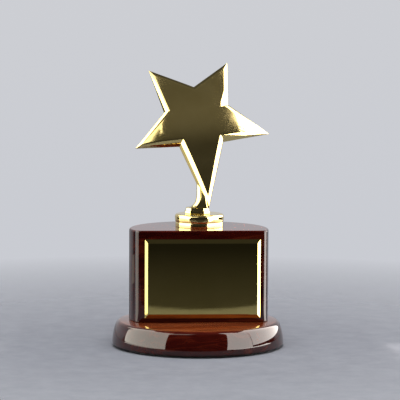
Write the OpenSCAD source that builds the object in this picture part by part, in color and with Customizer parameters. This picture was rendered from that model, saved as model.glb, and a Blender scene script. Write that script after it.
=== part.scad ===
// Star trophy: a leaning star casting on a turned collar, clamped by one long
// threaded rod to a half-round block and a round plinth.
// Frame: origin at the middle of the resting face, +Z up, the name plate faces -Y.

/* [Plinth] */
// Diameter of the round plinth
plinth_d = 127; // [120:1:135]
// Thickness of the plinth board
plinth_h = 18.1; // [15:0.1:20]
// Radius of the outward bulge of the plinth's side wall, seen in section
wall_bulge = 36; // [20:1:60]
// Height of the widest line of the side wall above the plinth's underside
wall_widest = 1.6; // [1.6:0.1:5]
// Radius of the shoulder where the side wall turns into the top
plinth_round = 4; // [2:0.5:5]
// Radius of the small rounding along the plinth's lower rim
plinth_heel = 1.6; // [1:0.1:2.5]
// How far the crowned top falls between the block and the shoulder
crown_drop = 0.4; // [0.3:0.1:1.2]
// Diameter of the felt pad under the plinth
felt_d = 120; // [110:1:122]
// Thickness of the felt pad
felt_t = 1.2; // [1:0.1:2]

/* [Block] */
// Radius of the half-round block
block_r = 51.5; // [50:0.5:54]
// Height of the block
block_h = 67.7; // [60:0.1:80]
// Distance from the block's axis to its flat front
block_front = 17; // [8:0.5:20]
// Rounding of the right upright corner of the flat front
block_corner = 3.4; // [2:0.1:6]
// Rounding of the left upright corner, sanded softer
soft_corner = 5; // [4:0.5:6]
// Distance from the block's middle to the left end of the flat
soft_start = 43; // [41:0.5:44]
// Sideways place of the block on the plinth
block_x = 0.5; // [0:0.1:1]
// Width of the chamfer along the block's upper round edge
block_edge = 0.8; // [0.4:0.1:1.5]

/* [Name plate] */
// Width of the blank name plate
plate_w = 84.9; // [70:0.1:86]
// Height of the name plate
plate_h = 58.3; // [40:0.1:60]
// Thickness of the name plate
plate_t = 1.4; // [1:0.1:2]
// Width of the bevel around the plate's face
plate_bevel = 2.2; // [1:0.1:3]
// Gap between the plate's upper edge and the block's top
plate_drop = 6.3; // [4:0.1:8]
// How far the plate sits to the right of the middle
plate_shift = 2.4; // [0:0.1:2.5]
// Thickness of the adhesive sheet behind the plate
tape_t = 0.3; // [0.2:0.05:0.6]
// Margin by which the adhesive sheet is smaller than the plate
tape_margin = 1.5; // [1:0.5:4]

/* [Collar] */
// Radius of the collar's upper, rounded band
collar_r = 18.2; // [17:0.1:20]
// Radius of the collar's lower band
collar_foot_r = 17.5; // [16.5:0.1:18]
// Full height of the collar
collar_h = 9.8; // [9:0.1:12]
// Height of the groove between the two bands
groove_z = 3.4; // [3:0.1:4]
// Depth of the groove
groove_depth = 0.9; // [0.5:0.1:1.5]
// Sideways place of the collar on the block
collar_x = 1.5; // [0:0.5:3]
// Place of the collar behind the block's axis
collar_y = 12.5; // [10:0.5:20]

/* [Star] */
// Distance from the star's middle to the tips of its four short arms
tip_r = 53.2; // [50:0.2:56]
// Distance from the star's middle to its five inner corners
notch_r = 26; // [24:0.5:28]
// Distance from the star's middle to the end of the long leg
leg_len = 72; // [68:1:76]
// Sideways bend of the leg's end within the star's plane
leg_skew = 3.7; // [0:0.1:5]
// Thickness of the casting at its middle
star_t = 8.6; // [7:0.1:12]
// Angle by which the star leans back
lean = 24.8; // [15:0.2:30]
// Angle by which the star turns towards its own left
yaw = 4.9; // [0:0.1:15]
// Angle by which the star is tipped within its plane
roll = 6.2; // [0:0.1:10]
// Thickness of the foot under the leg
foot_t = 4.4; // [3:0.1:6]

/* [Fixings] */
// Diameter of the threaded rod
rod_d = 5; // [4:0.5:6]
// Depth of the tapped hole in the star's foot
tap_depth = 7; // [6:0.5:9]
// Diameter of the counterbore under the plinth
counterbore_d = 19; // [16:0.5:24]
// Depth of the counterbore under the plinth
counterbore_h = 7; // [6:0.1:9]
// Diameter of the two alignment dowels
dowel_d = 8; // [6:0.5:10]
// Length of an alignment dowel
dowel_len = 23; // [18:1:24]
// Sideways distance of each dowel from the axis
dowel_x = 31; // [26:1:34]

/* [Hidden] */
round_fn = 128;
arc_steps = 6;
fit_gap = 0.1;
clearance_hole = rod_d + 0.6;

// Heights of the stack, from the table up
plinth_z = felt_t;
block_z = plinth_z + plinth_h;
collar_z = block_z + block_h;
foot_z = collar_z + collar_h;

// The clamp in the counterbore: washers against its ceiling, the nut below them
washer_t = 1.2;
washer_d = 15;
spring_t = 1.2;
spring_d = 9.2;
nut_h = 4;
nut_flats = 8;
washer_z = plinth_z + counterbore_h - washer_t;
spring_z = washer_z - spring_t;
nut_z = spring_z - nut_h;
rod_z = nut_z - 0.4;

dowel_y = collar_y;
dowel_hole_extra = 1;
flat_r = block_r + 0.5;
prism_over = 10;

// Right upright corner of the block: centre of its rounding, and where it meets the drum
corner_y = -block_front + block_corner;
corner_x = sqrt(pow(block_r - block_corner, 2) - pow(corner_y, 2));
corner_angle = atan2(corner_y, corner_x);

// Left upright corner: a small radius that runs into a larger one, up to the drum
soft_turn = 60;
soft_end = 86;
soft_centre = [-soft_start, -block_front + soft_corner];
flank_reach = (pow(block_r - soft_corner, 2) - pow(soft_centre[0], 2) - pow(soft_centre[1], 2))
    / (2 * (block_r - soft_corner + soft_centre * [sin(soft_turn), cos(soft_turn)]));
flank_centre = soft_centre + flank_reach * [sin(soft_turn), cos(soft_turn)];

plate_z = collar_z - plate_drop - plate_h;
tape_y = -block_front - tape_t;

// Angles of the star's tips and inner corners on its right half
top_tip_a = 54.6;
side_tip_a = -19.6;
top_notch_a = 90;
side_notch_a = 18.5;
low_notch_a = -50.7;

// Heights within the casting, up from its flat back
wall_h = 5.4;
wall_scale = 0.955;
bevel_h = 1.6;
bevel_scale = 0.88;
dome_r = 240;

// Leg: front face of the long arm, smaller than its back
leg_h = 8;
leg_front_scale = 0.83;
leg_front_len = leg_len - 5;
slab = 0.1;

// Place of the leg's lower end, from the middle of the collar's top
toe = [6.9, -0.7, 2.8];

function polar(r, a) = [r * cos(a), r * sin(a)];
function mirrored(p) = [-p[0], p[1]];
function arc(c, r, from, to) =
    [for (i = [0:arc_steps]) c + polar(r, from + (to - from) * i / arc_steps)];

side_notch = polar(notch_r, side_notch_a);
low_notch = polar(notch_r, low_notch_a);
top_tip = polar(tip_r, top_tip_a);
side_tip = polar(tip_r, side_tip_a);

module at_collar(z) translate([collar_x, collar_y, z]) children();

module felt_pad()
    color("#26362b") cylinder(h = felt_t, d = felt_d, $fn = round_fn);

// Section of the plinth: small heel, bulged wall, tight shoulder, slightly falling top
module plinth_body() {
    r = plinth_d / 2;
    wall_centre = [r - wall_bulge, wall_widest];
    shoulder_z = plinth_h - crown_drop - plinth_round;
    wall_angle = asin((shoulder_z - wall_widest) / (wall_bulge - plinth_round));
    shoulder_centre = wall_centre + polar(wall_bulge - plinth_round, wall_angle);
    rotate_extrude($fn = round_fn)
        polygon(concat(
            [[0, 0]],
            arc([r - plinth_heel, plinth_heel], plinth_heel, -90, -10),
            arc(wall_centre, wall_bulge, 0, wall_angle),
            arc(shoulder_centre, plinth_round, wall_angle, 90),
            [[flat_r, plinth_h], [0, plinth_h]]));
}

module plinth()
    color("#4a120c") difference() {
        translate([0, 0, plinth_z]) plinth_body();
        at_collar(plinth_z - 1) cylinder(h = counterbore_h + 1, d = counterbore_d, $fn = 64);
        at_collar(plinth_z) cylinder(h = plinth_h + 1, d = clearance_hole, $fn = 48);
        dowel_holes();
    }

module dowel_pair(d, len)
    for (side = [-1, 1])
        translate([side * dowel_x, dowel_y, block_z - len / 2])
            cylinder(h = len, d = d, $fn = 48);

module dowel_holes() dowel_pair(dowel_d + fit_gap, dowel_len + dowel_hole_extra);

module drum()
    rotate_extrude($fn = round_fn)
        polygon([[0, 0], [block_r, 0], [block_r, block_h - block_edge],
                 [block_r - block_edge, block_h], [0, block_h]]);

module flat_front_prism() {
    reach = block_r + prism_over;
    linear_extrude(block_h)
        polygon(concat(
            arc([corner_x, corner_y], block_corner, -90, corner_angle),
            [polar(reach, corner_angle), [reach, reach], [-reach, reach],
             polar(reach, 270 - soft_end)],
            arc(flank_centre, soft_corner + flank_reach, 270 - soft_end, 270 - soft_turn),
            arc(soft_centre, soft_corner, 270 - soft_turn, 270)));
}

module block()
    color("#3c0906") difference() {
        translate([block_x, 0, block_z]) intersection() {
            drum();
            flat_front_prism();
        }
        at_collar(block_z - 1) cylinder(h = block_h + 2, d = clearance_hole, $fn = 48);
        dowel_holes();
    }

module alignment_dowels()
    color("#c9a66b") dowel_pair(dowel_d, dowel_len);

module plate_adhesive()
    color("#e8e4d8")
        translate([plate_shift - plate_w / 2 + tape_margin, tape_y, plate_z + tape_margin])
            cube([plate_w - 2 * tape_margin, tape_t, plate_h - 2 * tape_margin]);

module plate_slab(inset, depth)
    translate([inset, -depth, inset]) cube([plate_w - 2 * inset, depth, plate_h - 2 * inset]);

module name_plate() {
    edge_t = plate_t / 3;
    color("#b09a4e")
        translate([plate_shift - plate_w / 2, tape_y, plate_z])
            hull() {
                plate_slab(0, edge_t);
                plate_slab(plate_bevel, plate_t);
            }
}

module collar_profile() {
    band_h = collar_h - groove_z;
    groove_r = collar_foot_r - groove_depth;
    bulge = band_h / 2;
    bulge_out = 2.2;
    upper = [for (a = [-75:25:75])
        [collar_r - bulge_out + bulge_out * cos(a), groove_z + bulge + bulge * sin(a) / sin(75)]];
    polygon(concat(
        [[0, 0], [collar_foot_r - 0.4, 0], [collar_foot_r, 0.4],
         [collar_foot_r, groove_z - 0.9], [groove_r, groove_z - 0.3]],
        upper,
        [[0, collar_h]]));
}

module collar()
    color("#d9b84a") at_collar(collar_z) difference() {
        rotate_extrude($fn = round_fn) collar_profile();
        translate([0, 0, -1]) cylinder(h = collar_h + 2, d = clearance_hole, $fn = 48);
    }

// Outline of the star, upright, with its long leg pointing down
module star_outline()
    polygon([top_tip, polar(notch_r, top_notch_a), mirrored(top_tip), mirrored(side_notch),
             mirrored(side_tip), mirrored(low_notch), [-leg_skew, -leg_len], low_notch,
             side_tip, side_notch]);

// The four short arms and the middle: drafted wall, bevel, and a domed face
module star_face()
    intersection() {
        union() {
            linear_extrude(wall_h, scale = wall_scale) star_outline();
            translate([0, 0, wall_h])
                linear_extrude(bevel_h, scale = bevel_scale) scale(wall_scale) star_outline();
            linear_extrude(star_t) scale(wall_scale * bevel_scale) star_outline();
        }
        translate([0, 0, star_t - dome_r]) sphere(r = dome_r, $fn = 96);
    }

module leg()
    hull() {
        linear_extrude(slab)
            polygon([low_notch, [0, 0], mirrored(low_notch), [-leg_skew, -leg_len]]);
        translate([0, 0, leg_h - slab]) linear_extrude(slab)
            polygon([low_notch * leg_front_scale, [0, 0], mirrored(low_notch) * leg_front_scale,
                     [-leg_skew, -leg_front_len]]);
    }

module star_casting()
    translate(toe) rotate([0, 0, yaw]) rotate([-lean, 0, 0]) rotate([0, -roll, 0])
        translate([leg_skew, 0, leg_len]) rotate([90, 0, 0]) {
            star_face();
            leg();
        }

// Foot: a five-sided pad on the collar, and a neck that carries the leaning leg
module foot() {
    linear_extrude(foot_t)
        polygon([[-11, -4], [3, -5.5], [4.5, -6.5], [7.5, -6], [7.5, 6], [3, 10], [-7, 10]]);
    hull() {
        translate([-6.5, -3.5, foot_t - slab]) cube([13.5, 10.5, slab]);
        translate([-2.8, -2.5, foot_t + 3.5]) cube([9, 8.5, slab]);
    }
    hull() {
        translate([-2.8, -2.5, foot_t + 3.5]) cube([9, 8.5, slab]);
        translate([-2.2, 2, foot_t + 17]) cube([8, 7, slab]);
    }
}

module star()
    color("#e0c050") difference() {
        at_collar(foot_z) {
            star_casting();
            foot();
        }
        at_collar(foot_z - 1) cylinder(h = tap_depth + 1, d = rod_d, $fn = 48);
    }

module threaded_rod()
    color("#9a9da0") at_collar(rod_z)
        cylinder(h = foot_z + tap_depth - 0.6 - rod_z, d = rod_d, $fn = 48);

module ring(h, outer, bore)
    difference() {
        cylinder(h = h, d = outer, $fn = 64);
        translate([0, 0, -1]) cylinder(h = h + 2, d = bore, $fn = 48);
    }

module flat_washer()
    color("#b4b7ba") at_collar(washer_z) ring(washer_t, washer_d, rod_d + 0.3);

module spring_washer()
    color("#8f9296") at_collar(spring_z) difference() {
        ring(spring_t, spring_d, rod_d + 0.2);
        translate([rod_d / 2, -0.4, -1]) cube([spring_d, 0.8, spring_t + 2]);
    }

module hex_nut()
    color("#b4b7ba") at_collar(nut_z) difference() {
        cylinder(h = nut_h, d = nut_flats / cos(30), $fn = 6);
        translate([0, 0, -1]) cylinder(h = nut_h + 2, d = rod_d, $fn = 48);
    }

felt_pad();
plinth();
block();
alignment_dowels();
plate_adhesive();
name_plate();
collar();
star();
threaded_rod();
flat_washer();
spring_washer();
hex_nut();
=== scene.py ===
"""Star trophy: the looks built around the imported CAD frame. Metres, +Z up, the name plate faces -Y."""
import math

import bmesh
import bpy
from mathutils import Matrix, Vector


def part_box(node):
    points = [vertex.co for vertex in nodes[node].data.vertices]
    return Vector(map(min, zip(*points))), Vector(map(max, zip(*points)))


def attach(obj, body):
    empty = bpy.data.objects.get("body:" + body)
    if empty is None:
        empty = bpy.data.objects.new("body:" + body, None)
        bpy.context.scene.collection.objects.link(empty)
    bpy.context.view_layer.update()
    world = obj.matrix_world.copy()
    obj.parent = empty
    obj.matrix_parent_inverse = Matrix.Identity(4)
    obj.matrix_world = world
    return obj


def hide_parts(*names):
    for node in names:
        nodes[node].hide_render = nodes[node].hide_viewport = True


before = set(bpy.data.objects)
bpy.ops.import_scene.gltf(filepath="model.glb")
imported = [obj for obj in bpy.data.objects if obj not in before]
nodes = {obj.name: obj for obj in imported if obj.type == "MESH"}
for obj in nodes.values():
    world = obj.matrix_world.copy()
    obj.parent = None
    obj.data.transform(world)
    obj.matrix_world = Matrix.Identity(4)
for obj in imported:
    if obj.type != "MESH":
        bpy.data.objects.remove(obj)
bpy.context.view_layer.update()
MM = 0.001

# ---------------------------------------------------------------- places taken from the frame

plinth_low, plinth_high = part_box("plinth")
block_low, block_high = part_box("block")
collar_low, collar_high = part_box("collar")
plate_low, plate_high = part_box("name_plate")
felt_low, felt_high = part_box("felt_pad")

PLINTH_R = plinth_high.x
COLLAR_X = (collar_low.x + collar_high.x) / 2
COLLAR_Y = (collar_low.y + collar_high.y) / 2
FRONT_Y = block_low.y


# ---------------------------------------------------------------- small mesh helpers

def add_object(name, verts, faces, smooth=True):
    """A mesh object from points and faces, with its normals made consistent."""
    mesh = bpy.data.meshes.new(name)
    mesh.from_pydata([tuple(v) for v in verts], [], faces)
    bm = bmesh.new()
    bm.from_mesh(mesh)
    bmesh.ops.remove_doubles(bm, verts=bm.verts, dist=1e-6)
    bmesh.ops.dissolve_degenerate(bm, edges=bm.edges, dist=1e-7)
    bmesh.ops.recalc_face_normals(bm, faces=bm.faces)
    for face in bm.faces:
        face.smooth = smooth
    bm.to_mesh(mesh)
    bm.free()
    obj = bpy.data.objects.new(name, mesh)
    bpy.context.scene.collection.objects.link(obj)
    return obj


def sharpen(obj, degrees):
    """Marks as sharp the edges that bend by more than this, so that the rest shades smooth."""
    bm = bmesh.new()
    bm.from_mesh(obj.data)
    limit = math.radians(degrees)
    for edge in bm.edges:
        if len(edge.link_faces) == 2 and edge.calc_face_angle() > limit:
            edge.smooth = False
    bm.to_mesh(obj.data)
    bm.free()


def arc(cx, cz, r, start, end, steps):
    """Points of an arc in a section plane, angles in degrees."""
    pts = []
    for i in range(steps + 1):
        a = math.radians(start + (end - start) * i / steps)
        pts.append((cx + r * math.cos(a), cz + r * math.sin(a)))
    return pts


def lathe(name, profile, turns, centre=(0.0, 0.0), wobble=lambda angle: 1.0):
    """A closed solid of revolution from a section that starts and ends on the axis.

    wobble scales the radius at each angle."""
    verts, faces = [], []
    inner = profile[1:-1]
    for i in range(turns):
        a = 2 * math.pi * i / turns
        for r, z in inner:
            reach = r * wobble(a)
            verts.append((centre[0] + reach * math.cos(a), centre[1] + reach * math.sin(a), z))
    n = len(inner)
    bottom, top = len(verts), len(verts) + 1
    verts.append((centre[0], centre[1], profile[0][1]))
    verts.append((centre[0], centre[1], profile[-1][1]))
    for i in range(turns):
        a, b = i * n, ((i + 1) % turns) * n
        faces.append((bottom, b, a))
        faces.append((top, a + n - 1, b + n - 1))
        for k in range(n - 1):
            faces.append((a + k, b + k, b + k + 1, a + k + 1))
    return add_object(name, verts, faces)


def band_faces(count, n):
    """The quads that join each of count closed loops of n points to the next."""
    faces = []
    for k in range(count - 1):
        for i in range(n):
            j = (i + 1) % n
            faces.append((k * n + i, k * n + j, (k + 1) * n + j, (k + 1) * n + i))
    return faces


def stacked_loops(name, loops):
    """A solid through closed loops of equal length, from the first to the last."""
    n = len(loops[0])
    verts = [p for loop in loops for p in loop]
    faces = band_faces(len(loops), n)
    faces.append(tuple(reversed(range(n))))
    faces.append(tuple(range((len(loops) - 1) * n, len(loops) * n)))
    return add_object(name, verts, faces)


def finish_piece(obj, material, slot, *cad_nodes):
    """Gives a piece its material and body, and hides the CAD nodes that it stands for; slot is not used."""
    obj.data.materials.clear()
    obj.data.materials.append(material)
    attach(obj, "root")
    if cad_nodes:
        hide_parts(*cad_nodes)
    return obj


# ---------------------------------------------------------------- materials

def new_material(name):
    """A new material with one principled shader: the material, its node tree and the shader."""
    mat = bpy.data.materials.new(name)
    mat.use_nodes = True
    tree = mat.node_tree
    tree.nodes.clear()
    out = tree.nodes.new("ShaderNodeOutputMaterial")
    shader = tree.nodes.new("ShaderNodeBsdfPrincipled")
    tree.links.new(shader.outputs["BSDF"], out.inputs["Surface"])
    return mat, tree, shader


def node(tree, kind, **settings):
    """A shader node; each setting is one of its inputs or one of its properties."""
    made = tree.nodes.new(kind)
    for key, value in settings.items():
        if key in made.inputs:
            made.inputs[key].default_value = value
        else:
            setattr(made, key, value)
    return made


def stretched_coords(tree, scale, rotation=(0, 0, 0)):
    """Object coordinates, turned and scaled."""
    coords = node(tree, "ShaderNodeTexCoord")
    mapping = node(tree, "ShaderNodeMapping")
    mapping.inputs["Scale"].default_value = scale
    mapping.inputs["Rotation"].default_value = rotation
    tree.links.new(coords.outputs["Object"], mapping.inputs["Vector"])
    return mapping.outputs["Vector"]


def noise(tree, vector, scale, detail, roughness, distortion=0.0):
    """Noise read at a vector; most of its values lie from 0.3 to 0.7."""
    tex = node(tree, "ShaderNodeTexNoise")
    tex.inputs["Scale"].default_value = scale
    tex.inputs["Detail"].default_value = detail
    tex.inputs["Roughness"].default_value = roughness
    tex.inputs["Distortion"].default_value = distortion
    tree.links.new(vector, tex.inputs["Vector"])
    return tex.outputs["Fac"]


def ramp(tree, factor, stops):
    """A colour ramp: stops are (position, (r, g, b))."""
    made = node(tree, "ShaderNodeValToRGB")
    band = made.color_ramp
    while len(band.elements) < len(stops):
        band.elements.new(0.5)
    for element, (pos, col) in zip(band.elements, stops):
        element.position = pos
        element.color = (*col, 1.0)
    tree.links.new(factor, made.inputs["Fac"])
    return made.outputs["Color"]


def remap(tree, factor, low, high, from_low=0.3, from_high=0.7):
    """A factor moved from one range to another and clamped; the default first range suits noise."""
    made = node(tree, "ShaderNodeMapRange")
    made.inputs["From Min"].default_value = from_low
    made.inputs["From Max"].default_value = from_high
    made.inputs["To Min"].default_value = low
    made.inputs["To Max"].default_value = high
    tree.links.new(factor, made.inputs["Value"])
    return made.outputs["Result"]


def mix_colour(tree, factor, a, b):
    """Colour a, going over to b with the factor; each is a socket or a plain value."""
    made = node(tree, "ShaderNodeMix", data_type="RGBA")
    for value, socket in ((factor, made.inputs[0]), (a, made.inputs[6]), (b, made.inputs[7])):
        if isinstance(value, bpy.types.NodeSocket):
            tree.links.new(value, socket)
        elif isinstance(value, tuple):
            socket.default_value = (*value, 1.0)
        else:
            socket.default_value = value
    return made.outputs[2]


def bump(tree, height, strength, distance):
    """A normal bent by a height; distance is in metres."""
    made = node(tree, "ShaderNodeBump")
    made.inputs["Strength"].default_value = strength
    made.inputs["Distance"].default_value = distance
    tree.links.new(height, made.inputs["Height"])
    return made.outputs["Normal"]


def lacquered_wood(name, grain_scale, top_light_share):
    """Dark red-brown figured wood under thick clear gloss lacquer.

    Faces that look up are painted lighter and more orange: painted light that stands for the light falling
    on them from above. They are lightest where their normal's upward part passes 0.99, and the last argument
    is the share of the painted tone there."""
    mat, tree, shader = new_material(name)
    broad = stretched_coords(tree, grain_scale)
    fine = stretched_coords(tree, tuple(4 * s for s in grain_scale))
    figure = noise(tree, broad, 5.0, 6.0, 0.6, 1.2)
    pores = noise(tree, fine, 14.0, 3.0, 0.7)
    base = ramp(tree, figure, [(0.30, (0.014, 0.0004, 0.0002)), (0.5, (0.034, 0.0018, 0.0006)),
                               (0.72, (0.085, 0.0120, 0.0036))])
    pore_dark = remap(tree, pores, 0.0, 1.0, 0.60, 0.72)
    base = mix_colour(tree, pore_dark, base, (0.010, 0.0004, 0.0002))
    # Painted top light: faces that look up mix towards a lighter, more orange tone that stands for light
    # falling on them from above.
    split = node(tree, "ShaderNodeSeparateXYZ")
    tree.links.new(node(tree, "ShaderNodeNewGeometry").outputs["Normal"], split.inputs["Vector"])
    painted_top_light = ramp(tree, figure, [(0.30, (0.070, 0.010, 0.003)), (0.72, (0.210, 0.058, 0.018))])
    upward = remap(tree, split.outputs["Z"], 0.0, top_light_share, 0.90, 0.99)
    tree.links.new(mix_colour(tree, upward, base, painted_top_light), shader.inputs["Base Color"])
    tree.links.new(remap(tree, figure, 0.34, 0.5), shader.inputs["Roughness"])
    shader.inputs["Specular IOR Level"].default_value = 0.0
    shader.inputs["Coat Weight"].default_value = 1.0
    shader.inputs["Coat Roughness"].default_value = 0.018
    shader.inputs["Coat IOR"].default_value = 1.52
    peel = noise(tree, stretched_coords(tree, (1, 1, 1)), 90.0, 1.0, 0.4)
    tree.links.new(bump(tree, peel, 0.035, 0.0002), shader.inputs["Coat Normal"])
    return mat


def polished_gold(name):
    """Gold plating over a hand-polished casting: slightly uneven gloss and faint haze."""
    mat, tree, shader = new_material(name)
    coords = stretched_coords(tree, (1, 1, 1))
    haze = noise(tree, coords, 42.0, 3.0, 0.6)
    wipe = noise(tree, stretched_coords(tree, (260, 260, 34), (0.35, 0.25, 0.5)), 1.0, 2.0, 0.5)
    tint = ramp(tree, haze, [(0.3, (0.80, 0.635, 0.255)), (0.7, (0.86, 0.70, 0.31))])
    tree.links.new(tint, shader.inputs["Base Color"])
    shader.inputs["Metallic"].default_value = 1.0
    tree.links.new(remap(tree, haze, 0.05, 0.12), shader.inputs["Roughness"])
    both = mix_colour(tree, 0.5, haze, wipe)
    tree.links.new(bump(tree, both, 0.012, 0.0001), shader.inputs["Normal"])
    return mat


def brushed_plate(name):
    """Brass plate with a very fine lengthwise brush and soft tarnish."""
    mat, tree, shader = new_material(name)
    strokes = noise(tree, stretched_coords(tree, (60, 400, 2600)), 1.0, 3.0, 0.6)
    cloud = noise(tree, stretched_coords(tree, (1, 1, 1)), 26.0, 4.0, 0.6)
    tint = ramp(tree, cloud, [(0.3, (0.60, 0.49, 0.165)), (0.7, (0.68, 0.56, 0.21))])
    tree.links.new(tint, shader.inputs["Base Color"])
    shader.inputs["Metallic"].default_value = 1.0
    tree.links.new(remap(tree, strokes, 0.025, 0.055), shader.inputs["Roughness"])
    tree.links.new(bump(tree, strokes, 0.05, 0.00005), shader.inputs["Normal"])
    return mat


def green_felt(name):
    """Short dark felt with matted fibres."""
    mat, tree, shader = new_material(name)
    coords = stretched_coords(tree, (1, 1, 1))
    fibres = noise(tree, coords, 1500.0, 4.0, 0.8, 2.0)
    clumps = noise(tree, coords, 180.0, 3.0, 0.6)
    base = ramp(tree, fibres, [(0.3, (0.012, 0.020, 0.015)), (0.7, (0.045, 0.070, 0.052))])
    tree.links.new(mix_colour(tree, remap(tree, clumps, 0.0, 0.4), base, (0.02, 0.03, 0.024)),
                   shader.inputs["Base Color"])
    shader.inputs["Roughness"].default_value = 0.95
    shader.inputs["Sheen Weight"].default_value = 0.4
    shader.inputs["Sheen Roughness"].default_value = 0.5
    tree.links.new(bump(tree, fibres, 0.8, 0.0004), shader.inputs["Normal"])
    return mat


def zinc_steel(name):
    """Bright zinc plating with fine machining marks."""
    mat, tree, shader = new_material(name)
    spangle = noise(tree, stretched_coords(tree, (1, 1, 1)), 600.0, 3.0, 0.6)
    lines = noise(tree, stretched_coords(tree, (40, 40, 2400)), 1.0, 2.0, 0.5)
    base = ramp(tree, spangle, [(0.3, (0.52, 0.54, 0.55)), (0.7, (0.66, 0.66, 0.64))])
    tree.links.new(base, shader.inputs["Base Color"])
    shader.inputs["Metallic"].default_value = 1.0
    tree.links.new(remap(tree, spangle, 0.25, 0.42), shader.inputs["Roughness"])
    tree.links.new(bump(tree, lines, 0.3, 0.0001), shader.inputs["Normal"])
    return mat


def raw_beech(name):
    """Unfinished pale dowel wood with flecks along its length."""
    mat, tree, shader = new_material(name)
    fleck = noise(tree, stretched_coords(tree, (900, 900, 90)), 1.0, 4.0, 0.6)
    base = ramp(tree, fleck, [(0.3, (0.42, 0.25, 0.12)), (0.6, (0.62, 0.43, 0.24)),
                              (0.8, (0.68, 0.50, 0.30))])
    tree.links.new(base, shader.inputs["Base Color"])
    shader.inputs["Roughness"].default_value = 0.75
    tree.links.new(bump(tree, fleck, 0.4, 0.0002), shader.inputs["Normal"])
    return mat


def adhesive_film(name):
    """Whitish double-sided film with small trapped bubbles."""
    mat, tree, shader = new_material(name)
    bubbles = noise(tree, stretched_coords(tree, (1, 1, 1)), 700.0, 2.0, 0.5)
    base = ramp(tree, bubbles, [(0.4, (0.62, 0.60, 0.54)), (0.7, (0.78, 0.76, 0.70))])
    tree.links.new(base, shader.inputs["Base Color"])
    shader.inputs["Roughness"].default_value = 0.6
    tree.links.new(bump(tree, bubbles, 0.3, 0.0001), shader.inputs["Normal"])
    return mat


# The last argument is the share of painted top light on faces that look up.
wood_plinth = lacquered_wood("lacquered_wood_plinth", (4.0, 26.0, 26.0), 0.75)
wood_block = lacquered_wood("lacquered_wood_block", (3.5, 24.0, 24.0), 0.25)
gold = polished_gold("polished_gold")
plate_brass = brushed_plate("brushed_plate")
felt = green_felt("felt")
zinc = zinc_steel("zinc_steel")
beech = raw_beech("raw_beech")
film = adhesive_film("adhesive_film")


# ---------------------------------------------------------------- camera

CAM_AZIMUTH = -3.5
CAM_DISTANCE = 1.641
CAM_HEIGHT = 0.266
CAM_PITCH = 5.5
CAM_ROLL = 0.3
CAM_AIM_RIGHT = 0.041
CAM_LENS = 200.9


def make_camera():
    """Long lens, a little to the left of the trophy and slightly above it."""
    data = bpy.data.cameras.new("camera")
    cam = bpy.data.objects.new("camera", data)
    bpy.context.scene.collection.objects.link(cam)
    a = math.radians(CAM_AZIMUTH)
    cam.location = (CAM_DISTANCE * math.sin(a), -CAM_DISTANCE * math.cos(a), CAM_HEIGHT)
    turn = (Matrix.Rotation(math.radians(CAM_AZIMUTH - CAM_AIM_RIGHT), 4, "Z")
            @ Matrix.Rotation(math.radians(90 - CAM_PITCH), 4, "X")
            @ Matrix.Rotation(math.radians(CAM_ROLL), 4, "Z"))
    cam.rotation_mode = "QUATERNION"
    cam.rotation_quaternion = turn.to_quaternion()
    data.sensor_width = 36
    data.lens = CAM_LENS
    data.clip_start = 0.05
    data.clip_end = 50
    bpy.context.scene.camera = cam


make_camera()


# ---------------------------------------------------------------- plinth, block, felt

def make_plinth():
    """Turned plinth: small heel, bulged wall, tight shoulder, slightly falling top."""
    z0, z1 = plinth_low.z, plinth_high.z
    heel, bulge, shoulder = 1.6 * MM, 36 * MM, 4.0 * MM
    widest, fall, flat = z0 + 1.6 * MM, 0.4 * MM, 52 * MM
    cx, cz = PLINTH_R - bulge, widest
    shoulder_z = z1 - fall - shoulder
    top_angle = math.degrees(math.asin((shoulder_z - widest) / (bulge - shoulder)))
    sx = cx + (bulge - shoulder) * math.cos(math.radians(top_angle))
    profile = [(0, z0), (40 * MM, z0), (58 * MM, z0)]
    profile += arc(PLINTH_R - heel, z0 + heel, heel, -90, -8, 8)
    profile += arc(cx, cz, bulge, 0, top_angle, 18)
    profile += arc(sx, shoulder_z, shoulder, top_angle, 88, 16)[1:]
    edge_r, edge_z = profile[-1]
    steps = 14
    for i in range(1, steps + 1):
        t = i / steps
        r = edge_r + (flat - edge_r) * t
        profile.append((r, z1 - (z1 - edge_z) * (1 - t) ** 1.6))
    profile += [(44 * MM, z1), (20 * MM, z1), (0, z1)]
    return lathe("plinth_turned", profile, turns=256)


# Right corner radius; left corner: a small radius that runs into a larger one, both with their centres
TIGHT_R = 3.4 * MM
SOFT_R, SOFT_X, SOFT_Y = 5.0 * MM, -43.0 * MM, -12.0 * MM
FLANK_R, FLANK_X, FLANK_Y = 30.96 * MM, -20.5 * MM, 0.98 * MM
# Short straight stretch that keeps the front's shading flat next to each corner
SUPPORT = 0.25 * MM


def block_outline(inset):
    """The half-round outline, counter-clockwise from the front, moved inwards by inset.

    The right corner is tight. The left one is softer, in two radii."""
    middle = (block_low.x + block_high.x) / 2
    radius, tight = block_high.y - inset, TIGHT_R - inset
    front = FRONT_Y + inset
    cy = front + tight
    cx = math.sqrt((radius - tight) ** 2 - cy ** 2)
    meet = math.degrees(math.atan2(cy, cx))
    right = [(cx - SUPPORT, front)] + arc(cx, cy, tight, -90, meet, 14)
    drum = arc(0, 0, radius, meet + 0.3, 182.4, 128)
    flank = arc(FLANK_X, FLANK_Y, FLANK_R - inset, 182.7, 210.3, 16)
    left = arc(SOFT_X, SOFT_Y, SOFT_R - inset, 211, 270, 12) + [(SOFT_X + SUPPORT, front)]
    return [(middle + x, y) for x, y in right + drum + flank + left]


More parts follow.
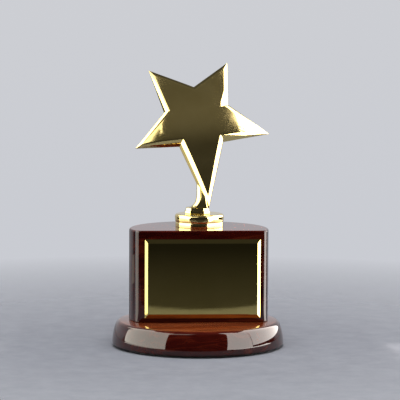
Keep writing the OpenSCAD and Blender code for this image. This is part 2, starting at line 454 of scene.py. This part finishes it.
def make_block():
    """Half-round block with softly broken upper and lower edges."""
    round_top, round_bottom, steps = 1.1 * MM, 0.6 * MM, 6
    z0, z1 = block_low.z, block_high.z
    rings = []
    for i in range(steps + 1):
        a = math.radians(90 * i / steps)
        rings.append((round_bottom * (1 - math.sin(a)), z0 + round_bottom * (1 - math.cos(a))))
    rings.append((0.0, z0 + round_bottom + 0.2 * MM))
    rings.append((0.0, z1 - round_top - 0.2 * MM))
    for i in range(steps + 1):
        a = math.radians(90 * i / steps)
        rings.append((round_top * (1 - math.cos(a)), z1 - round_top * (1 - math.sin(a))))
    rings.append((round_top + 0.2 * MM, z1))
    rings.insert(0, (round_bottom + 0.2 * MM, z0))
    return stacked_loops("block_half_round", [[(x, y, z) for x, y in block_outline(inset)]
                                              for inset, z in rings])


def make_felt():
    """Die-cut felt disc with a soft, slightly uneven edge."""
    r, z0, thick = felt_high.x, felt_low.z, felt_high.z - felt_low.z
    # Shares of the radius and of the thickness
    section = [(0.0, 0.0), (0.5, 0.0), (0.97, 0.0), (0.994, 0.2), (1.0, 0.5), (0.994, 0.85), (0.97, 1.0),
               (0.5, 1.0), (0.0, 1.0)]
    return lathe("felt_disc", [(r * share, z0 + thick * height) for share, height in section], turns=256,
                 wobble=lambda a: 1 - 0.0022 * (1 + math.sin(7 * a + 1.3) * math.sin(23 * a)))


finish_piece(make_plinth(), wood_plinth, "lacquered_wood", "plinth")
finish_piece(make_block(), wood_block, "lacquered_wood", "block")
finish_piece(make_felt(), felt, "felt", "felt_pad")


# ---------------------------------------------------------------- name plate

def make_plate():
    """Blank plate: thin edge, wide bright bevel, flat face.

    The bevel is wider along the top and bottom than along the sides."""
    w, h = plate_high.x - plate_low.x, plate_high.z - plate_low.z
    t = plate_high.y - plate_low.y
    edge, bevel, top_share = 0.12 * t, 2.3 * MM, 1.25
    corner, least_corner = 0.35 * MM, 0.12 * MM

    def rounded_rect(inset, y):
        pts, rise = [], top_share * inset
        r = max(corner - inset * 0.1, least_corner)
        for cx, cz, start in ((w - inset - r, rise + r, -90), (w - inset - r, h - rise - r, 0),
                              (inset + r, h - rise - r, 90), (inset + r, rise + r, 180)):
            pts += arc(cx, cz, r, start, start + 90, 4)
        return [(plate_low.x + x, y, plate_low.z + z) for x, z in pts]

    back, front = plate_high.y, plate_low.y
    loops = [rounded_rect(0.05 * MM, back), rounded_rect(0, back - 0.05 * MM),
             rounded_rect(0, back - edge + 0.02 * MM), rounded_rect(0.06 * MM, back - edge),
             rounded_rect(bevel - 0.18 * MM, front + 0.07 * MM), rounded_rect(bevel, front + 0.015 * MM),
             rounded_rect(bevel + 0.2 * MM, front), rounded_rect(bevel + 1.0 * MM, front)]
    return stacked_loops("plate_bevelled", loops)


plate = finish_piece(make_plate(), plate_brass, "plate_metal", "name_plate")
for face in plate.data.polygons:
    face.use_smooth = False


# ---------------------------------------------------------------- collar

def make_collar():
    """Turned collar: plain lower band, shallow soft waist, upper band with a rounded shoulder."""
    z0, z1 = collar_low.z, collar_high.z
    low_r, high_r, shoulder = 17.9 * MM, collar_high.x - COLLAR_X, 1.95 * MM
    profile = [(0, z0), (10 * MM, z0), (low_r - 0.05 * MM, z0)]
    # Height above the base and distance outside the lower band's radius, in mm
    for height, out in ((0.1, -0.02), (1.0, 0.0), (2.0, 0.02), (3.0, 0.0), (3.4, -0.07), (3.65, -0.18),
                        (3.8, -0.22), (3.95, -0.17), (4.2, -0.03), (4.6, 0.08), (5.6, 0.19), (6.8, 0.27)):
        profile.append((low_r + out * MM, z0 + height * MM))
    profile += arc(high_r - shoulder, z1 - shoulder, shoulder, 0, 88, 14)
    profile += [(14.6 * MM, z1), (13 * MM, z1 - 0.05 * MM), (0, z1 - 0.05 * MM)]
    return lathe("collar_turned", profile, turns=192, centre=(COLLAR_X, COLLAR_Y))


collar = finish_piece(make_collar(), gold, "gold_plate", "collar")
sharpen(collar, 60)


# ---------------------------------------------------------------- star

TIP_R, NOTCH_R, LEG_LEN, LEG_SKEW = 53.2 * MM, 26.0 * MM, 72 * MM, 3.7 * MM
LEAN, YAW, ROLL = 24.8, 4.9, 6.2
TOE = Vector((COLLAR_X + 6.9 * MM, COLLAR_Y - 0.7 * MM, collar_high.z + 2.8 * MM))
EDGE_REACH = 22.7 * MM
# Wall, bevel and face rim: inset as a share of the thickness plus millimetres, height as a share
RIM = [(0.0, 0.0, 0.0), (0.0, 0.0, 0.05), (0.02, 0.0, 0.10), (0.10, 0.0, 0.60), (0.115, 0.05, 0.655),
       (0.135, 0.18, 0.70), (0.19, 1.55, 0.955), (0.20, 1.80, 0.985), (0.215, 2.15, 0.998),
       (0.23, 2.55, 1.0)]


def polar(r, degrees):
    """A point of the star's plane, with the angle counter-clockwise from the right."""
    return Vector((r * math.cos(math.radians(degrees)), r * math.sin(math.radians(degrees))))


def star_corners():
    """Tips and inner corners in turn, counter-clockwise from the right upper tip."""
    # Small sideways and upward shifts from the regular star, in mm
    nudge = [(-0.9, -0.3), (0.8, 0.0), (0.0, 0.0), (0.0, 0.0), (-0.6, 0.0), (-1.1, 0.0), (0.0, 0.0),
             (-0.3, 0.0), (1.7, 0.2), (0.0, 0.2)]
    ideal = [polar(TIP_R, 54.6), polar(NOTCH_R, 90), polar(TIP_R, 125.4), polar(NOTCH_R, 161.5),
             polar(TIP_R, 199.6), polar(NOTCH_R, 230.7), Vector((-LEG_SKEW, -LEG_LEN)),
             polar(NOTCH_R, -50.7), polar(TIP_R, -19.6), polar(NOTCH_R, 18.5)]
    return [p + Vector(n) * MM for p, n in zip(ideal, nudge)]


def thickness(p):
    """Local thickness: thin upper arms, thicker below, gently domed, thinning at the side tips."""
    x, y, r = p.x / MM, p.y / MM, p.length / MM
    t = 7.1 - 2.5 * math.tanh(y / 22) - x * x / 480 - y * y / 1000
    if abs(x) > 30 and y < 5:
        limit = 0.7 + 0.62 * max(0.0, 54.6 - r)
        k = 1.2
        t = 0.5 * (t + limit - math.sqrt((t - limit) ** 2 + k * k))
    return max(t, 0.7) * MM


def star_matrix():
    """From the star's own plane (x right, y up, z to the front) to the row frame."""
    upright = Matrix.Rotation(math.radians(90), 4, "X")
    return (Matrix.Translation(TOE) @ Matrix.Rotation(math.radians(YAW), 4, "Z")
            @ Matrix.Rotation(math.radians(-LEAN), 4, "X") @ Matrix.Rotation(math.radians(-ROLL), 4, "Y")
            @ Matrix.Translation(Vector((LEG_SKEW, 0, LEG_LEN))) @ upright)


def make_star():
    """The casting: rings from the outline inwards, over wall, bevel and domed face."""
    corners = star_corners()
    per_edge, face_rings = 30, 26
    outline, wide = [], []
    for i, a in enumerate(corners):
        b = corners[(i + 1) % len(corners)]
        for k in range(per_edge):
            # Points stand a little closer together towards the corners
            s = k / per_edge
            s = s * s * (3 - 2 * s) * 0.35 + s * 0.65
            outline.append(a + (b - a) * s)
            # The bevel widens at the right upper inner corner, as in the photo
            wide.append(1.3 * min(1.0, max(0.0, 1 - s / 0.42) * 1.6) if i == 9 else 0.0)
    n = len(outline)
    local = [thickness(p) for p in outline]
    rings = []
    for share, extra, height in RIM:
        ring = []
        for p, t, grow in zip(outline, local, wide):
            inset = share * t + extra * MM * (1 + grow)
            q = p * (1 - inset / EDGE_REACH)
            ring.append((q.x, q.y, height * thickness(q)))
        rings.append(ring)
    share, extra, _ = RIM[-1]
    for k in range(1, face_rings + 1):
        inward = (k / face_rings) ** 0.9 * 0.985
        ring = []
        for p, t, grow in zip(outline, local, wide):
            start = (share * t + extra * MM * (1 + grow)) / EDGE_REACH
            q = p * (1 - (start + (1 - start) * inward))
            ring.append((q.x, q.y, thickness(q)))
        rings.append(ring)
    verts = [p for ring in rings for p in ring]
    faces = band_faces(len(rings), n)
    top = len(verts)
    verts.append((0, 0, thickness(Vector((0, 0)))))
    base = (len(rings) - 1) * n
    faces += [(base + i, base + (i + 1) % n, top) for i in range(n)]
    # Back: a small broken edge, then flat to the middle
    back_start, back_inset, back_z = len(verts), 0.35 * MM, -0.12 * MM
    for share in (1 - back_inset / EDGE_REACH, 0.5):
        for p in outline:
            q = p * share
            verts.append((q.x, q.y, back_z))
    middle = len(verts)
    verts.append((0, 0, back_z))
    for i in range(n):
        j = (i + 1) % n
        faces.append((i, back_start + i, back_start + j, j))
        faces.append((back_start + i, back_start + n + i, back_start + n + j, back_start + j))
        faces.append((back_start + n + i, middle, back_start + n + j))
    place = star_matrix()
    verts = [place @ Vector(v) for v in verts]
    star = add_object("star_figure", verts, faces)
    sharpen(star, 20)
    return star


def make_pad():
    """Faceted toe of the casting on the collar, with a stepped edge."""
    plan = [(-10.5, -2), (-7, -4.9), (3.2, -6.3), (7.4, -4.3), (7.5, 6), (3, 10), (-7, 10), (-10.5, 6)]
    z0 = collar_high.z - 0.05 * MM
    centre = Vector((sum(x for x, _ in plan) / len(plan), sum(y for _, y in plan) / len(plan)))
    loops = []
    for height, inset in ((0, 0.25), (0.35, 0.0), (1.7, 0.0), (2.0, 0.12), (2.25, 0.5), (2.5, 0.62),
                          (3.7, 0.75), (4.15, 0.95), (4.45, 1.5), (4.5, 2.2)):
        loop = []
        for x, y in plan:
            out = Vector((x, y)) - centre
            q = centre + out * (1 - inset / out.length * 1.1)
            loop.append((COLLAR_X + q.x * MM, COLLAR_Y + q.y * MM, z0 + height * MM))
        loops.append(loop)
    pad = stacked_loops("star_toe", loops)
    sharpen(pad, 25)
    return pad


def make_neck():
    """Neck of the casting: flares out of the toe, covers the rod's end and carries the leaning leg."""
    start, rise, steps = 3.6, 21, 24
    bend, cut, fillet = 9, 2.7, 2.6
    loops = []
    for i in range(steps + 1):
        z = start + rise * i / steps
        flare = math.exp(-(z - start) / fillet)
        left = -1.9 - 7.0 * flare + 0.02 * (z - start)
        right = 5.4 - 0.03 * (z - start) + 1.4 * flare
        back = 0.32 * (z - bend + math.sqrt((z - bend) ** 2 + 4))
        front = -3.2 - 0.8 * flare + back
        rear = 5.4 + 2.2 * flare + back * 1.05
        section = [(left, front + cut), (left + 0.35, front + cut * 0.62), (left + cut * 0.75, front + 0.25),
                   (left + cut * 1.05, front), (right - 1.2, front), (right - 0.2, front + 0.4),
                   (right, front + 1.3), (right, rear - 1.5), (right - 1.5, rear), (left + 1.5, rear),
                   (left, rear - 1.5)]
        loops.append([(COLLAR_X + x * MM, COLLAR_Y + y * MM, collar_high.z + z * MM) for x, y in section])
    neck = stacked_loops("star_neck", loops)
    sharpen(neck, 28)
    return neck


finish_piece(make_star(), gold, "gold_plate", "star")
finish_piece(make_pad(), gold, "gold_plate")
finish_piece(make_neck(), gold, "gold_plate")


# ---------------------------------------------------------------- CAD nodes that stay

for name, material in (("plate_adhesive", film), ("alignment_dowels", beech), ("threaded_rod", zinc),
                       ("flat_washer", zinc), ("spring_washer", zinc), ("hex_nut", zinc)):
    cad_mesh = nodes[name].data
    cad_mesh.materials.clear()
    cad_mesh.materials.append(material)


# ---------------------------------------------------------------- stage and light

# Tints of the left and right lights
WARM_L, WARM_R = (1.0, 0.965, 0.85), (1.0, 0.93, 0.87)
# Distance of the upright panels from the origin, and height of the cards that lie over the floor
PANEL_AWAY = 0.8
ABOVE_FLOOR = 0.003


def make_floor():
    """Pale matte sweep: it melts into the pale surroundings away from the trophy."""
    turns, radius = 96, 3.0
    ring = [(radius * math.cos(2 * math.pi * i / turns), radius * math.sin(2 * math.pi * i / turns), 0)
            for i in range(turns)]
    floor = add_object("floor", ring, [tuple(range(turns))])
    mat, tree, shader = new_material("floor_matte")
    nap = noise(tree, stretched_coords(tree, (1, 1, 1)), 60.0, 6.0, 0.7)
    tree.links.new(ramp(tree, nap, [(0.3, (0.108, 0.113, 0.130)), (0.7, (0.136, 0.142, 0.161))]),
                   shader.inputs["Base Color"])
    shader.inputs["Roughness"].default_value = 0.95
    shader.inputs["Specular IOR Level"].default_value = 0.1
    length = node(tree, "ShaderNodeVectorMath", operation="LENGTH")
    tree.links.new(stretched_coords(tree, (1, 1, 1)), length.inputs[0])
    fade = remap(tree, length.outputs["Value"], 0.0, 1.0, 0.13, 0.55)
    clear = tree.nodes.new("ShaderNodeBsdfTransparent")
    blend = tree.nodes.new("ShaderNodeMixShader")
    tree.links.new(fade, blend.inputs["Fac"])
    tree.links.new(shader.outputs["BSDF"], blend.inputs[1])
    tree.links.new(clear.outputs["BSDF"], blend.inputs[2])
    out = next(n for n in tree.nodes if n.bl_idname == "ShaderNodeOutputMaterial")
    tree.links.new(blend.outputs["Shader"], out.inputs["Surface"])
    floor.data.materials.append(mat)


def glow_card(name, corners, colour, strength, fade=None):
    """A studio panel seen only in reflections: it neither lights, shades nor shows.

    fade is (axis, start, end, strength at the end): the glow changes along an axis of the room."""
    card = add_object(name, corners, [tuple(range(len(corners)))], smooth=False)
    mat = bpy.data.materials.new(name)
    mat.use_nodes = True
    tree = mat.node_tree
    tree.nodes.clear()
    out = tree.nodes.new("ShaderNodeOutputMaterial")
    emit = tree.nodes.new("ShaderNodeEmission")
    emit.inputs["Color"].default_value = (*colour, 1)
    emit.inputs["Strength"].default_value = strength
    if fade:
        axis, start, end, last = fade
        split = tree.nodes.new("ShaderNodeSeparateXYZ")
        tree.links.new(stretched_coords(tree, (1, 1, 1)), split.inputs["Vector"])
        tree.links.new(remap(tree, split.outputs[axis], strength, last, start, end), emit.inputs["Strength"])
    tree.links.new(emit.outputs["Emission"], out.inputs["Surface"])
    card.data.materials.append(mat)
    card.visible_camera = False
    card.visible_diffuse = False
    card.visible_shadow = False
    card.visible_transmission = False


def panel(name, middle, outline, colour, strength):
    """A flat upright panel facing the trophy at azimuth middle: outline points are azimuth and height."""
    m = math.radians(middle)
    out, along = Vector((math.sin(m), -math.cos(m), 0)), Vector((math.cos(m), math.sin(m), 0))
    corners = []
    for azimuth, height in outline:
        spot = out * PANEL_AWAY + along * PANEL_AWAY * math.tan(math.radians(azimuth - middle))
        corners.append((spot.x, spot.y, height))
    glow_card(name, corners, colour, strength)


def dim_front_reflection():
    """Dim card over the floor in front, seen only in reflections: a painted reflection of the dark studio
    beyond the table.

    Its near edge is a shallow curve around the trophy."""
    near, curve, middle, half, steps = 0.204, 10.0, 0.012, 0.12, 24
    side, side_y, far_y, z = 3.0, -0.33, -6.0, 0.002
    pts = []
    for i in range(steps + 1):
        x = -half + 2 * half * i / steps
        pts.append((middle + x, -(near + curve * x * x), z))
    pts += [(side, side_y, z), (side, far_y, z), (-side, far_y, z), (-side, side_y, z)]
    glow_card("dim_front_reflection", pts, (1.0, 0.98, 0.95), 0.062, ("Y", -0.22, -0.62, 0.014))


def soft_lamp(name, azimuth, distance, height, size, radiance):
    """A square diffuse lamp that lights but is not seen in reflections."""
    data = bpy.data.lights.new(name, "AREA")
    data.shape = "SQUARE"
    data.size = size
    data.energy = radiance * math.pi * size * size
    lamp = bpy.data.objects.new(name, data)
    bpy.context.scene.collection.objects.link(lamp)
    a = math.radians(azimuth)
    lamp.location = (math.sin(a) * distance, -math.cos(a) * distance, height)
    aim = Vector((0, 0, 0.08)) - lamp.location
    lamp.rotation_mode = "QUATERNION"
    lamp.rotation_quaternion = aim.to_track_quat("-Z", "Z")
    lamp.visible_camera = False
    lamp.visible_glossy = False


def make_world():
    """Soft surroundings: pale behind the trophy, dim in front and overhead."""
    world = bpy.data.worlds.new("studio")
    bpy.context.scene.world = world
    world.use_nodes = True
    tree = world.node_tree
    tree.nodes.clear()
    out = tree.nodes.new("ShaderNodeOutputWorld")
    background = tree.nodes.new("ShaderNodeBackground")
    coords = tree.nodes.new("ShaderNodeTexCoord")
    split = tree.nodes.new("ShaderNodeSeparateXYZ")
    tree.links.new(coords.outputs["Generated"], split.inputs["Vector"])
    # Front half: nearly black at the horizon, a dim ceiling above
    front = ramp(tree, split.outputs["Z"],
                 [(0.0, (0.030, 0.030, 0.031)), (0.70, (0.043, 0.042, 0.039)), (0.76, (0.068, 0.066, 0.060)),
                  (0.86, (0.122, 0.118, 0.108)), (0.95, (0.150, 0.146, 0.134))])
    # Back half: the pale backdrop, dimmer below the horizon and overhead
    back = ramp(tree, remap(tree, split.outputs["Z"], 0.0, 1.0, -0.15, 1.0),
                [(0.0, (0.40, 0.41, 0.43)), (0.10, (0.42, 0.43, 0.45)), (0.20, (0.60, 0.61, 0.65)),
                 (0.52, (0.58, 0.58, 0.58)), (0.78, (0.10, 0.10, 0.10)), (1.0, (0.06, 0.06, 0.06))])
    # The backdrop reaches further round above the table than at its level
    reach = node(tree, "ShaderNodeVectorMath", operation="DOT_PRODUCT")
    tree.links.new(coords.outputs["Generated"], reach.inputs[0])
    reach.inputs[1].default_value = (0.0, 1.0, 0.8)
    behind = remap(tree, reach.outputs["Value"], 0.0, 1.0, 0.50, 0.62)
    tree.links.new(mix_colour(tree, behind, front, back), background.inputs["Color"])
    pale = tree.nodes.new("ShaderNodeBackground")
    height = remap(tree, split.outputs["Z"], 0.0, 1.0, -0.12, 0.15)
    tree.links.new(mix_colour(tree, height, (0.585, 0.600, 0.645), (0.640, 0.645, 0.665)),
                   pale.inputs["Color"])
    path = tree.nodes.new("ShaderNodeLightPath")
    straight = node(tree, "ShaderNodeMath", operation="MAXIMUM")
    tree.links.new(path.outputs["Is Camera Ray"], straight.inputs[0])
    tree.links.new(path.outputs["Is Diffuse Ray"], straight.inputs[1])
    choose = tree.nodes.new("ShaderNodeMixShader")
    tree.links.new(straight.outputs["Value"], choose.inputs["Fac"])
    tree.links.new(background.outputs["Background"], choose.inputs[1])
    tree.links.new(pale.outputs["Background"], choose.inputs[2])
    tree.links.new(choose.outputs["Shader"], out.inputs["Surface"])


make_floor()
dim_front_reflection()
panel("panel_left", -81, [(-46, ABOVE_FLOOR), (-116, ABOVE_FLOOR), (-116, 0.6), (-138, 0.8), (-138, 2.2),
                          (-116, 1.6), (-100, 1.25), (-46, 1.25)], WARM_L, 4.9)
panel("panel_right_front", 53, [(34.5, ABOVE_FLOOR), (72.5, ABOVE_FLOOR), (72.5, 1.9), (48.5, 1.9),
                                (48.0, 1.55), (45.0, 1.35), (45.5, 1.1), (41.0, 0.7)], WARM_R, 6.3)
panel("panel_right_back", 108.2, [(73.5, 0.05), (143, 0.05), (143, 1.25), (73.5, 1.25)], WARM_R, 6.8)
glow_card("card_front_left",
          [(x, -0.76, z) for x, z in ((-0.090, 1.43), (-0.187, 1.04), (-0.26, 0.74), (-0.80, 0.74),
                                      (-0.80, 1.43))], WARM_L, 2.2)
# Cards just over the floor, seen only in reflections: painted reflections of the floor where the panels
# light it, beside and behind the trophy.
for name, outline, colour, strength in (
        ("floor_glow_left", [(-0.14, 0.02), (-0.8, 0.33), (-0.8, -0.63), (-0.17, -0.117)], WARM_L, 3.0),
        ("floor_glow_rear", [(-0.33, 0.18), (-0.25, 0.25), (-0.42, 0.38), (-0.50, 0.30)], WARM_L, 0.6),
        ("floor_glow_right", [(0.14, 0.0), (0.155, -0.155), (0.8, -0.9), (0.8, 0.12)], WARM_R, 9.0)):
    glow_card(name, [(x, y, ABOVE_FLOOR) for x, y in outline], colour, strength)
soft_lamp("lamp_left", -78, 0.95, 0.45, 0.8, 0.8)
soft_lamp("lamp_right", 82, 0.95, 0.45, 0.8, 1.2)
soft_lamp("lamp_top", 0, 0.04, 1.25, 0.7, 18.0)
make_world()

scene = bpy.context.scene
scene.view_settings.view_transform = "Standard"
scene.view_settings.look = "None"
